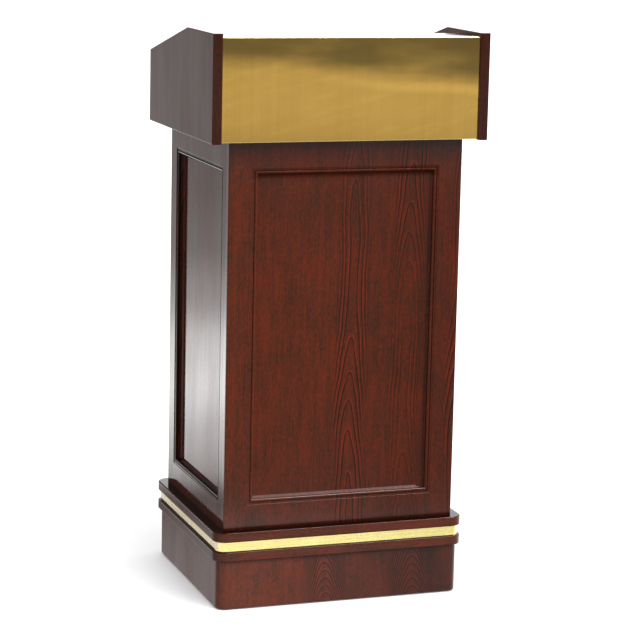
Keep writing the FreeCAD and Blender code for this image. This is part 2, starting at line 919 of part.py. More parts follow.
for label, is_left in (("cheek_left", True), ("cheek_right", False)):
    cheek = new_body(label)
    outline = new_sketch(cheek, label + "_outline", "YZ_Plane")
    zero = (0.0, "0")
    full = (475.0, "dims.total_depth")
    polygon(
        outline,
        [
            (zero, zero),
            (full, zero),
            (full, (154.5, "dims.cheek_back_height")),
            ((189.0, "dims.cheek_flat"), (221.0, "dims.cheek_height")),
            (zero, (221.0, "dims.cheek_height")),
        ],
    )
    pad(cheek, outline, "dims.cheek_thick")
    fillet(
        cheek,
        label + "_edge_round",
        "dims.cheek_ease",
        lambda p: near(p.x, 0.0) or near(p.x, number["cheek_thick"]),
    )
    inner_offset = "dims.cheek_thick" if is_left else "0"
    drill(
        cheek,
        label + "_dowel_holes",
        "YZ_Plane",
        inner_offset,
        [(y - y_front, z - z_head) for y, z in dowel_spots],
        DOWEL_R + FIT_GAP,
        str(DOWEL_IN_CHEEK + 1.0),
        not is_left,
    )
    drill(
        cheek,
        label + "_cleat_pilots",
        "YZ_Plane",
        inner_offset,
        [(y - y_front, cleat_mid(y) - z_head) for y in CLEAT_SCREW_ROWS],
        CLEAT_SCREW_R + FIT_GAP,
        "12",
        not is_left,
    )
    place(cheek, "-dims.head_width / 2" if is_left else X_IN, Y_HEAD, Z_HEAD)
doc.recompute()

span = number["head_width"] - 2 * number["cheek_thick"]
HEAD_FLOOR_DEPTH = "(dims.total_depth / 2 - 5.5 - (%s + dims.panel_thick))" % Y_BOARD
head_floor = new_body("head_floor")
floor_plan = new_sketch(head_floor, "head_floor_outline", "XY_Plane")
rectangle(floor_plan, (554.0, SPAN), (445.0, HEAD_FLOOR_DEPTH))
pad(head_floor, floor_plan, "dims.panel_thick")
floor_front = face_board_y + panel_t
head_screw_spots = [(s * x_panel, y) for s in (-1, 1) for y in HEAD_SCREW_ROWS]
head_screw_spots += [(s * HEAD_SCREW_X, y_body + panel_t / 2) for s in (-1, 1)]
drill(
    head_floor,
    "head_floor_screw_holes",
    "XY_Plane",
    "dims.panel_thick",
    [(x + span / 2, y - floor_front) for x, y in head_screw_spots],
    HEAD_SCREW_R + FIT_GAP,
    "dims.panel_thick",
)
for tag, offset, flip in (("left", "0", True), ("right", SPAN, False)):
    drill(
        head_floor,
        "head_floor_dowels_" + tag,
        "YZ_Plane",
        offset,
        [(y - floor_front, panel_t / 2) for y in DOWEL_ROWS],
        DOWEL_R + FIT_GAP,
        str(DOWEL_IN_BOARD + 1.0),
        flip,
    )
place(head_floor, "-%s / 2" % SPAN, "%s + dims.panel_thick" % Y_BOARD, Z_HEAD)

FACE_HEIGHT = "(dims.brass_height - dims.brass_thick - dims.panel_thick)"
face_board = new_body("face_board")
face_plan = new_sketch(face_board, "face_board_outline", "XZ_Plane")
rectangle(face_plan, (554.0, SPAN), (190.0, FACE_HEIGHT))
pad(face_board, face_plan, "dims.panel_thick", True)
face_low = z_head + number["brass_lift"] + number["brass_thick"]
for tag, offset, flip in (("left", "0", True), ("right", SPAN, False)):
    drill(
        face_board,
        "face_board_dowels_" + tag,
        "YZ_Plane",
        offset,
        [(panel_t / 2, z_head + up - face_low) for up in FACE_DOWEL_HEIGHTS],
        DOWEL_R + FIT_GAP,
        str(DOWEL_IN_BOARD + 1.0),
        flip,
    )
place(face_board, "-%s / 2" % SPAN, Y_BOARD, "%s + dims.brass_thick" % Z_BRASS)

# Brass face: one sheet folded back over the flat top and under the face board.
brass = new_body("brass_face")
fold = new_sketch(brass, "brass_fold", "YZ_Plane")
sheet_t = (1.2, "dims.brass_thick")
brass_h = (211.0, "dims.brass_height")
polygon(
    fold,
    [
        (zero, zero),
        ((18.5, "dims.brass_low_lap"), zero),
        ((18.5, "dims.brass_low_lap"), sheet_t),
        (sheet_t, sheet_t),
        (sheet_t, (209.8, "dims.brass_height - dims.brass_thick")),
        ((39.0, "dims.brass_top_lap"), (209.8, "dims.brass_height - dims.brass_thick")),
        ((39.0, "dims.brass_top_lap"), brass_h),
        (zero, brass_h),
    ],
)
BRASS_END_GAP = 0.2
pad(brass, fold, "%s - 2 * %s" % (SPAN, BRASS_END_GAP))
fillet(
    brass,
    "brass_bends",
    "1.1",
    lambda p: near(p.y, 0.0) and (near(p.z, 0.0) or near(p.z, number["brass_height"])),
)
place(brass, "-%s / 2 + %s" % (SPAN, BRASS_END_GAP), Y_FACE, Z_BRASS)

# Level board at the top. Its front edge is rabbeted, so the brass lies flush.
top_board = new_body("top_board")
top_profile = new_sketch(top_board, "top_board_profile", "YZ_Plane")
top_depth = desk_start - face_board_y
DESK_RISE = "(dims.cheek_height - dims.cheek_back_height)"
DESK_RUN = "(dims.total_depth - dims.cheek_flat)"
TOP_DEPTH = (
    "(dims.cheek_flat - dims.brass_setback - dims.brass_thick"
    " + (%s - %s) * %s / %s)"
    % (
        "(dims.total_height - dims.desk_drop)",
        Z_TOP,
        DESK_RUN,
        DESK_RISE,
    )
)
rabbet = (38.0, "dims.brass_top_lap - dims.brass_thick + 0.2")
rabbet_z = (16.8, "dims.panel_thick - dims.brass_thick")
board_t = (18.0, "dims.panel_thick")
polygon(
    top_profile,
    [
        (zero, zero),
        ((top_depth, TOP_DEPTH), zero),
        ((top_depth, TOP_DEPTH), board_t),
        (rabbet, board_t),
        (rabbet, rabbet_z),
        (zero, rabbet_z),
    ],
)
pad(top_board, top_profile, SPAN)
place(top_board, "-%s / 2" % SPAN, Y_BOARD, "%s - dims.panel_thick" % Z_TOP)

# Sloping desk, its book stop and the cleats it rests on. The slope is the same
# as the cheek's upper edge, so each profile is drawn against that line.
SLOPE = "(%s / %s)" % (DESK_RISE, DESK_RUN)
DESK_START = "(%s + %s)" % (Y_BOARD, TOP_DEPTH)
DESK_LENGTH = (
    "(dims.total_depth / 2 - dims.desk_rear_inset - dims.stop_thick - %s)" % DESK_START
)
DESK_FALL = "(dims.panel_thick * sqrt(1 + %s * %s))" % (SLOPE, SLOPE)
desk_length = desk_end - number["stop_thick"] - desk_start


def sloped(body, name, start, end, low, high, length):
    """Bar under or over the desk line: start and end run front to back from the
    desk's upper end, low and high are measured upright from its surface."""
    sketch = new_sketch(body, name, "YZ_Plane")
    corners = []
    for along, up in ((start, low), (end, low), (end, high), (start, high)):
        guess = up[0] - along[0] * slope
        rule = "(%s) - (%s) * %s" % (up[1], along[1], SLOPE)
        corners.append((along, (guess, rule)))
    polygon(sketch, corners)
    pad(body, sketch, length)


desk = new_body("reading_desk")
sloped(
    desk,
    "desk_profile",
    zero,
    (desk_length, DESK_LENGTH),
    (-desk_fall, "-" + DESK_FALL),
    (0.0, "0 * dims.panel_thick"),
    SPAN,
)
place(desk, "-%s / 2" % SPAN, DESK_START, Z_TOP)

# The stop's inner face stands square to the desk, so a book lies flat against it.
stop = new_body("book_stop")
stop_sketch = new_sketch(stop, "stop_profile", "YZ_Plane")
lean = number["stop_height"] / (1 + slope * slope)
LEAN = "(dims.stop_height / (1 + %s * %s))" % (SLOPE, SLOPE)
stop_end = desk_length + number["stop_thick"]
STOP_END = "(%s + dims.stop_thick)" % DESK_LENGTH
desk_edge = (desk_length, DESK_LENGTH)
stop_edge = (stop_end, STOP_END)
edge_z = -desk_length * slope
EDGE_Z = "(-%s * %s)" % (DESK_LENGTH, SLOPE)
back_z = -stop_end * slope
BACK_Z = "(-%s * %s)" % (STOP_END, SLOPE)
polygon(
    stop_sketch,
    [
        (desk_edge, (edge_z - desk_fall, "%s - %s" % (EDGE_Z, DESK_FALL))),
        (stop_edge, (back_z - desk_fall, "%s - %s" % (BACK_Z, DESK_FALL))),
        (
            stop_edge,
            (back_z + number["stop_height"], "%s + dims.stop_height" % BACK_Z),
        ),
        (
            (desk_length + slope * lean, "%s + %s * %s" % (DESK_LENGTH, SLOPE, LEAN)),
            (edge_z + lean, "%s + %s" % (EDGE_Z, LEAN)),
        ),
        (desk_edge, (edge_z, EDGE_Z)),
    ],
)
pad(stop, stop_sketch, SPAN)
stop_crest = edges_where(
    stop.Tip.Shape,
    lambda p: p.z > number["stop_height"] - p.y * slope - 0.01,
)
round_edges(
    stop,
    "stop_top_round",
    "4",
    [n for n in stop_crest if stop.Tip.Shape.getElement(n).Length > 100.0],
)
place(stop, "-%s / 2" % SPAN, DESK_START, Z_TOP)

for label, is_left in (("desk_cleat_left", True), ("desk_cleat_right", False)):
    cleat = new_body(label)
    begin = cleat_start - desk_start
    finish = cleat_end - desk_start
    sloped(
        cleat,
        label + "_profile",
        (begin, "%s - %s" % (cleat_start, DESK_START)),
        (finish, "%s - %s" % (cleat_end, DESK_START)),
        (-desk_fall - 20.0, "-%s - dims.cleat_size" % DESK_FALL),
        (-desk_fall, "-%s" % DESK_FALL),
        "dims.cleat_size",
    )
    drill(
        cleat,
        label + "_screw_holes",
        "YZ_Plane",
        "dims.cleat_size",
        [(y - desk_start, cleat_mid(y) - z_top) for y in CLEAT_SCREW_ROWS],
        CLEAT_SCREW_R + FIT_GAP,
        "dims.cleat_size",
    )
    place(
        cleat,
        "-" + X_IN if is_left else "%s - dims.cleat_size" % X_IN,
        DESK_START,
        Z_TOP,
    )

dowels = []
for side_sign in (-1, 1):
    for i, (y, z) in enumerate(dowel_spots):
        tag = "%s_%d" % ("left" if side_sign < 0 else "right", i)
        dowels.append(
            cylinder(
                "dowel_" + tag,
                2 * DOWEL_R,
                DOWEL_IN_CHEEK + DOWEL_IN_BOARD,
                (side_sign * (x_cheek + DOWEL_IN_CHEEK), y, z),
                (-side_sign, 0, 0),
            )
        )
group("cheek_dowels", dowels)

# Screws with low round heads: rod along an axis, head on the near side.
SCREW_HEAD_R = 4.0
SCREW_HEAD_T = 2.2


def screw(name, at, along, rod_radius, length):
    """Screw whose head sits on the surface at a point and goes along an axis."""
    start = FreeCAD.Vector(*at)
    way = FreeCAD.Vector(*along)
    top = start - way * SCREW_HEAD_T
    head = cylinder(name + "_head", 2 * SCREW_HEAD_R, SCREW_HEAD_T, tuple(top), along)
    rod = cylinder(name + "_rod", 2 * rod_radius, length, at, along)
    return fuse(name, [head, rod])


floor_top = z_head + panel_t
group(
    "head_screws",
    [
        screw(
            "head_screw_%d" % i,
            (x, y, floor_top),
            (0, 0, -1),
            HEAD_SCREW_R - FIT_GAP,
            HEAD_SCREW_LENGTH,
        )
        for i, (x, y) in enumerate(head_screw_spots)
    ],
)
cleat_face = x_cheek - number["cleat_size"]
group(
    "cleat_screws",
    [
        screw(
            "cleat_screw_%s_%d" % ("left" if s < 0 else "right", i),
            (s * cleat_face, y, cleat_mid(y)),
            (s, 0, 0),
            CLEAT_SCREW_R,
            number["cleat_size"] + 10.0,
        )
        for s in (-1, 1)
        for i, y in enumerate(CLEAT_SCREW_ROWS)
    ],
)
doc.recompute()

# --------------------------------------------------------------- check, write
for item in doc.Objects:
    if "Invalid" in item.State or "Error" in item.State:
        raise RuntimeError("%s is %s" % (item.Name, item.State))
for item in made:
    if item.Shape.isNull() or not item.Shape.isValid() or not item.Shape.Solids:
        raise RuntimeError("%s has no valid solid" % item.Label)

os.makedirs("parts", exist_ok=True)
for item in made:
    item.Shape.exportStep("parts/%s.step" % item.Label)
    box = item.Shape.BoundBox
    print(
        "%-26s %d solid(s) X %.1f..%.1f Y %.1f..%.1f Z %.1f..%.1f"
        % (
            item.Label,
            len(item.Shape.Solids),
            box.XMin,
            box.XMax,
            box.YMin,
            box.YMax,
            box.ZMin,
            box.ZMax,
        )
    )
print("%d pieces" % len(made))
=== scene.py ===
import math

import bpy
from mathutils import Matrix, Vector


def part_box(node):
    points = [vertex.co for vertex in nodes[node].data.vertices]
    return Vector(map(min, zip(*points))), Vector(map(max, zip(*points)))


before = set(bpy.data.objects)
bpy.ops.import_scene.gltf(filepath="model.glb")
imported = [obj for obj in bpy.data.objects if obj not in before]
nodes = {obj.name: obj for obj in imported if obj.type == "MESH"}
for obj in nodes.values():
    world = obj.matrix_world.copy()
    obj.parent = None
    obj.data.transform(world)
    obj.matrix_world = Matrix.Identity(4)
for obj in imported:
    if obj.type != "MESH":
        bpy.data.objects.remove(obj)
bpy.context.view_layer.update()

# Looks of the wooden pulpit: materials, floor, light and camera round the CAD model.
scene = bpy.context.scene


# ------------------------------------------------------------ node helpers
class Graph:
    """Short names for building a node tree."""

    def __init__(self, tree):
        self.tree = tree
        tree.nodes.clear()

    def add(self, kind, **settings):
        node = self.tree.nodes.new(kind)
        for key, value in settings.items():
            setattr(node, key, value)
        return node

    def feed(self, socket, value):
        if value is None:
            return
        if isinstance(value, bpy.types.NodeSocket):
            self.tree.links.new(value, socket)
        else:
            socket.default_value = value

    def math(self, operation, a, b=None, c=None, clamp=False):
        node = self.add("ShaderNodeMath", operation=operation, use_clamp=clamp)
        for socket, value in zip(node.inputs, (a, b, c)):
            self.feed(socket, value)
        return node.outputs[0]

    def plus(self, a, b):
        return self.math("ADD", a, b)

    def minus(self, a, b):
        return self.math("SUBTRACT", a, b)

    def times(self, a, b):
        return self.math("MULTIPLY", a, b)

    def swing(self, value, size):
        """A noise value as a swing either way, by half of size."""
        return self.times(self.minus(value, 0.5), size)

    def split(self, vector):
        node = self.add("ShaderNodeSeparateXYZ")
        self.feed(node.inputs[0], vector)
        return node.outputs

    def join(self, x=0.0, y=0.0, z=0.0):
        node = self.add("ShaderNodeCombineXYZ")
        for socket, value in zip(node.inputs, (x, y, z)):
            self.feed(socket, value)
        return node.outputs[0]

    def place(self):
        """The point's X, Y and Z in the object's own frame."""
        return self.split(self.add("ShaderNodeTexCoord").outputs["Object"])

    def noise(self, vector, detail=2.0, rough=0.5):
        node = self.add("ShaderNodeTexNoise")
        self.feed(node.inputs["Vector"], vector)
        node.inputs["Scale"].default_value = 1.0
        node.inputs["Detail"].default_value = detail
        node.inputs["Roughness"].default_value = rough
        return node.outputs["Fac"]

    def range(self, value, low, high, to_low=0.0, to_high=1.0, smooth=True):
        node = self.add("ShaderNodeMapRange")
        node.interpolation_type = "SMOOTHSTEP" if smooth else "LINEAR"
        node.clamp = True
        for i, v in enumerate((value, low, high, to_low, to_high)):
            self.feed(node.inputs[i], v)
        return node.outputs[0]

    def ramp(self, value, stops):
        """Eased ramp of grey through the stops, each (place, brightness)."""
        node = self.add("ShaderNodeValToRGB")
        ramp = node.color_ramp
        ramp.interpolation = "EASE"
        while len(ramp.elements) < len(stops):
            ramp.elements.new(1.0)
        for element, (place, grey) in zip(ramp.elements, stops):
            element.position = place
            element.color = (grey, grey, grey, 1.0)
        self.feed(node.inputs[0], value)
        return node.outputs[0]

    def mix(self, share, a, b, mode="MIX"):
        node = self.add("ShaderNodeMix", data_type="RGBA", blend_type=mode)
        self.feed(node.inputs[0], share)
        self.feed(node.inputs[6], a if isinstance(a, bpy.types.NodeSocket) else tuple(a) + (1.0,))
        self.feed(node.inputs[7], b if isinstance(b, bpy.types.NodeSocket) else tuple(b) + (1.0,))
        return node.outputs[2]

    def mix_value(self, share, a, b):
        node = self.add("ShaderNodeMix", data_type="FLOAT")
        self.feed(node.inputs[0], share)
        self.feed(node.inputs[2], a)
        self.feed(node.inputs[3], b)
        return node.outputs[0]

    def bump(self, height, strength, distance, normal=None):
        node = self.add("ShaderNodeBump")
        node.inputs["Strength"].default_value = strength
        node.inputs["Distance"].default_value = distance
        self.feed(node.inputs["Height"], height)
        self.feed(node.inputs["Normal"], normal)
        return node.outputs[0]


def new_material(name):
    material = bpy.data.materials.new(name)
    material.use_nodes = True
    graph = Graph(material.node_tree)
    shader = graph.add("ShaderNodeBsdfPrincipled")
    out = graph.add("ShaderNodeOutputMaterial")
    material.node_tree.links.new(shader.outputs[0], out.inputs[0])
    return material, graph, shader


def scaled(colour, *factors):
    """A colour times one factor, or times one for each channel, up to 1."""
    if len(factors) == 1:
        factors = factors * 3
    return tuple(min(1.0, c * f) for c, f in zip(colour, factors))


# ------------------------------------------------------------ veneer
# a face is level where its normal's Z is over this
LEVEL_FACE = 0.72
# how far the veneer's pattern is moved on side and on level faces
SIDE_SHIFT, LEVEL_SHIFT = 3.7, 7.3

# wood between its lines at its darkest and its reddest, and the lines
SHADE = (0.034, 0.0188, 0.0098)
GLOW = (0.215, 0.0260, 0.0090)
LINE = (0.012, 0.0085, 0.006)

# usual width of a leaf of veneer, and how far from its middle its arches
# have faded out and are full
LEAF = 0.122
ARCHES_OUT, ARCHES_FULL = 0.040, 0.024
# rings to a metre, least and most slope of their legs, half width of the
# rounded tip, and how far the trunk's height turns back
TALL_ARCHES = (8.0, 12.0, 21.0, 0.018, 0.105)
SKIRT_ARCHES = (60.0, 4.0, 5.5, 0.025, 0.0)
# turning back, in radians to a metre along the grain
TURN_RATE = 10.5
# half width of a ring's dark line, and of its full part, and the red beside it
RING_EDGE, RING_FULL = 0.0022, 0.0006
RED_START, RED_FULL, RED_FADES, RED_END = 0.0006, 0.0024, 0.0028, 0.0050
# rings closer together than this, to a metre, fade out
CROWDED_OUT, CROWDED_FROM = 320.0, 210.0

# noise over the veneer: scale across and along the grain, offset, detail, roughness
FINE = (420.0, 14.0, 0.0, 2.0, 0.6)
BROAD = (95.0, 4.0, 9.0, 3.0, 0.6)
PORES = (1300.0, 42.0, 0.0, 2.0, 0.6)
MOTTLE = (240.0, 110.0, 6.0, 3.0, 0.65)
BLOTCH = (75.0, 48.0, 7.0, 2.0, 0.5)
CLOUD = (16.0, 9.0, 3.0, 3.0, 0.6)
COAT_STREAKS = (170.0, 3.5, 12.0, 3.0, 0.6)
COAT_FILM = (11.0, 4.0, 15.0, 2.0, 0.5)
# share of GLOW in the wood: its middle, and the swing that each noise gives it
GLOW_SHARE = 0.375
SWINGS = ((FINE, 0.70), (BROAD, 0.60), (MOTTLE, 1.1), (BLOTCH, 0.30), (CLOUD, 0.60))
# strength of the red beside the rings, of the rings and of the pores
RED_STRENGTH, RING_STRENGTH, PORE_STRENGTH = 0.40, 0.80, 0.45
# bumps, each (strength, distance): of the wood, of the wood through the coat,
# and of the coat's own waves
WOOD_BUMP, COAT_BUMP, COAT_WAVES = (0.25, 0.0004), (0.07, 0.0004), (1.0, 0.00005)

# moulding of the side panels: its middle's depth, half its depth, and how much painted shade darkens
# it
MOULDING_DEPTH, MOULDING_HALF, MOULDING_PAINTED_SHADE = 0.0062, 0.0052, 0.65
# the side panels' coat, from this deep up to the face
COAT_SUNK, COAT_SUNK_WEIGHT, COAT_FACE_IOR = 0.003, 0.94, 0.035
# moulding under the head: the depth where it starts, and how much less coat it has
THIN_FROM, THIN_FULL, THIN_BY = 0.0003, 0.0010, 0.78
# the front panel's outer edge, which the thin coat leaves out
EDGE_IN, EDGE_OUT = 0.015, 0.010


def face_uv(g, front, side, top):
    """Across-grain and along-grain coordinates, chosen by which way a face looks.
    Each of front, side and top is (across axis, along axis)."""
    where = g.add("ShaderNodeTexCoord")
    place = g.split(where.outputs["Object"])
    normal = g.split(where.outputs["Normal"])
    size = [g.math("ABSOLUTE", n) for n in normal]
    is_side = g.math("GREATER_THAN", size[0], size[1])
    is_top = g.math("GREATER_THAN", size[2], LEVEL_FACE)
    both = []
    for on_front, on_side, on_top in zip(front, side, top):
        way = g.mix_value(is_side, place["XYZ".index(on_front)], place["XYZ".index(on_side)])
        both.append(g.mix_value(is_top, way, place["XYZ".index(on_top)]))
    shift = g.plus(g.times(is_side, SIDE_SHIFT), g.times(is_top, LEVEL_SHIFT))
    return both[0], both[1], shift, place, is_side, is_top


def veneer_rings(g, across, along, start, middle_at, leaf_width, arches, show, bare):
    """Dark lines of the growth rings, and the red beside them, as two masks.
    Each leaf has tall narrow arches near its middle."""
    # leaves of veneer and the distance from the middle of each
    slow = g.noise(g.join(g.times(along, 1.3), start, 0.0), 1.0, 0.4)
    wave = g.noise(g.join(g.times(along, 6.0), g.plus(start, 4.0), g.times(across, 6.0)), 2.0, 0.5)
    bent = g.plus(across, g.plus(g.swing(slow, 0.050), g.swing(wave, 0.018)))
    leaf = g.plus(g.times(g.minus(bent, middle_at), 1.0 / leaf_width), 0.5)
    number = g.math("FLOOR", leaf)
    middle = g.swing(g.math("FRACT", leaf), leaf_width)
    key = g.plus(g.times(number, 5.3), start)
    # height along the trunk turns back now and then, which closes the arches
    per_metre, slack, taut, tip, back = arches
    turning = g.plus(g.times(along, TURN_RATE), g.times(key, 1.7))
    climb = g.plus(along, g.times(g.math("SINE", turning), back))
    slope = g.range(g.noise(g.join(key, 2.0, along), 0.0), 0.3, 0.7, slack, taut)
    spread = g.math("SQRT", g.plus(g.times(middle, middle), tip * tip))
    cup = g.times(g.minus(spread, tip), slope)
    jitter = g.noise(g.join(g.times(across, 70.0), g.times(along, 5.0), key), 2.0, 0.5)
    rings = g.plus(g.times(g.plus(climb, cup), per_metre), g.times(jitter, 0.45))
    # each ring is a line of even thickness, whatever way it runs
    uphill = g.plus(1.0, g.times(g.math("COSINE", turning), back * TURN_RATE))
    sideways = g.times(slope, g.math("DIVIDE", middle, spread))
    steep = g.plus(g.plus(g.times(uphill, uphill), g.times(sideways, sideways)), 0.1)
    steep = g.times(g.math("SQRT", steep), per_metre)
    off = g.math("DIVIDE", g.minus(g.math("FRACT", rings), 0.5), steep)
    dark_line = g.range(g.math("ABSOLUTE", off), RING_EDGE, RING_FULL)
    red_line = g.times(g.range(off, RED_START, RED_FULL), g.range(off, RED_END, RED_FADES))
    # the arches fade out beside the leaf's middle, where crowded, and by chance
    reach = leaf_width / LEAF
    near = g.range(g.math("ABSOLUTE", middle), ARCHES_OUT * reach, ARCHES_FULL * reach)
    near = g.times(near, g.range(steep, CROWDED_OUT, CROWDED_FROM))
    chance = g.noise(g.join(g.times(key, 3.1), g.times(along, 1.8), 1.0), 1.0, 0.4)
    shown = g.times(g.times(near, g.range(chance, 0.34, 0.56, 0.25, 1.0)), show)
    for leaf_number in bare:
        other = g.minus(1.0, g.math("COMPARE", number, float(leaf_number), 0.5))
        shown = g.times(shown, other)
    return g.times(dark_line, shown), g.times(red_line, shown)


def wood(name, front, side, top, seed=0.0, middle_at=0.0, leaf_width=LEAF, arches=TALL_ARCHES,
         show=1.0, bare=(), tone=1.0, edge_tone=1.0, top_shade=1.0, gloss=0.07, coat=1.3,
         painted_shading=(), thin=None, sunk=None):
    """Red-brown lacquered veneer: growth rings, streaks, pores and clouds under
    a clear coat. middle_at is the across-grain place of one leaf's middle, and
    bare the numbers of the leaves without arches, counted from that one. show
    is how strong the arches are. tone, edge_tone and top_shade are the
    brightness of front, side and level faces; top_shade under one paints shade
    on the level faces. gloss is the coat's roughness and coat its index. Each
    of fades is painted light and shade, (axis, from, to, brightness there,
    brightness here). thin is (the face's Y, half the panel's width, lowest Z,
    Z where it is full), for a moulding with less lacquer. sunk is half the
    width over panels whose moulding gets painted shade and whose field has
    less coat."""
    material, g, shader = new_material(name)
    across, along, shift, place, is_side, is_top = face_uv(g, front, side, top)
    width_out = g.math("ABSOLUTE", place[0])
    start = g.plus(shift, seed)

    def veneer_noise(kind):
        by_across, by_along, offset, detail, rough = kind
        where = g.join(g.times(across, by_across), g.times(along, by_along), g.plus(start, offset))
        return g.noise(where, detail, rough)

    # colour
    dark_rings, red_rings = veneer_rings(
        g, across, along, start, middle_at, leaf_width, arches, show, bare)
    noises = {kind: veneer_noise(kind) for kind, _ in SWINGS}
    fine, broad, pores = noises[FINE], noises[BROAD], veneer_noise(PORES)
    share = GLOW_SHARE
    for kind, size in SWINGS:
        share = g.plus(share, g.swing(noises[kind], size))
    share = g.math("ADD", share, g.times(red_rings, RED_STRENGTH), clamp=True)
    colour = g.mix(share, SHADE, GLOW)
    colour = g.mix(g.times(dark_rings, RING_STRENGTH), colour, LINE)
    colour = g.mix(g.times(g.range(pores, 0.56, 0.74), PORE_STRENGTH), colour, LINE)
    light = g.mix_value(is_side, edge_tone * tone, tone)
    # painted shade on level faces, where their brightness is under one
    light = g.mix_value(is_top, light, top_shade * tone)
    # painted light and shade: brightness changed along an axis
    for axis, here, there, low, high in painted_shading:
        light = g.times(light, g.range(place[axis], here, there, low, high))
    if sunk:
        # painted shade in the moulding of the side panels
        inside = g.math("COMPARE", width_out, sunk - MOULDING_DEPTH, MOULDING_HALF)
        light = g.times(light, g.minus(1.0, g.times(inside, MOULDING_PAINTED_SHADE)))
    colour = g.mix(1.0, colour, g.join(light, light, light), "MULTIPLY")
    g.feed(shader.inputs["Base Color"], colour)
    g.feed(shader.inputs["Roughness"], g.range(fine, 0.2, 0.8, 0.36, 0.50))
    shader.inputs["Specular IOR Level"].default_value = 0.0

    # coat
    streaks = g.range(veneer_noise(COAT_STREAKS), 0.30, 0.70, 0.90, 1.0)
    cover = g.times(streaks, g.range(veneer_noise(COAT_FILM), 0.35, 0.60, 0.88, 1.0))
    if thin:
        face, half, lowest, full = thin
        deep = g.range(place[1], face + THIN_FROM, face + THIN_FULL)
        deep = g.times(deep, g.range(width_out, half - EDGE_OUT, half - EDGE_IN))
        deep = g.times(deep, g.range(place[2], lowest, full))
        cover = g.times(cover, g.minus(1.0, g.times(deep, THIN_BY)))
    index = coat
    if sunk:
        field = sunk - COAT_SUNK
        cover = g.times(cover, g.range(width_out, field, sunk, COAT_SUNK_WEIGHT, 1.0))
        index = g.range(width_out, field, sunk, coat, coat + COAT_FACE_IOR)
    g.feed(shader.inputs["Coat IOR"], index)
    g.feed(shader.inputs["Coat Weight"], cover)
    g.feed(shader.inputs["Coat Roughness"], g.range(pores, 0.2, 0.8, gloss * 0.8, gloss * 1.4))
    height = g.plus(g.times(pores, 0.35), g.times(fine, 0.65))
    g.feed(shader.inputs["Normal"], g.bump(height, *WOOD_BUMP))
    under = g.bump(height, *COAT_BUMP)
    g.feed(shader.inputs["Coat Normal"], g.bump(broad, *COAT_WAVES, under))
    return material


# ------------------------------------------------------------ other materials
# noise scales across and along: bare wood's grain, and brass's brushing
GRAIN_ACROSS, GRAIN_ALONG = 240.0, 9.0
BRUSH_ACROSS, BRUSH_ALONG = 1400.0, 10.0
# how far the brass's wiping marks and its painted dark reflection, the veil, lean across the sheet
WIPE_ACROSS, WIPE_UP, WIPE_LEAN = 8.0, 46.0, 11.0
VEIL_LEAN = 0.082


def raw_wood(name, light, dark, axis, seed):
    """Bare wood of blocks and dowels, with its grain along axis."""
    material, g, shader = new_material(name)
    place = g.place()
    scale = [GRAIN_ACROSS] * 3
    scale["XYZ".index(axis)] = GRAIN_ALONG
    grain = g.noise(g.join(*[g.times(p, s) for p, s in zip(place, scale)]), 3.0, 0.6)
    slow = [g.plus(g.times(p, s * 0.15), seed) for p, s in zip(place, scale)]
    slow = g.noise(g.join(*slow), 2.0, 0.5)
    colour = g.mix(g.range(grain, 0.3, 0.7), dark, light)
    colour = g.mix(g.range(slow, 0.3, 0.7, 0.0, 0.35), colour, dark)
    g.feed(shader.inputs["Base Color"], colour)
    g.feed(shader.inputs["Roughness"], g.range(grain, 0.3, 0.7, 0.55, 0.75))
    g.feed(shader.inputs["Normal"], g.bump(grain, 0.3, 0.0004))
    return material


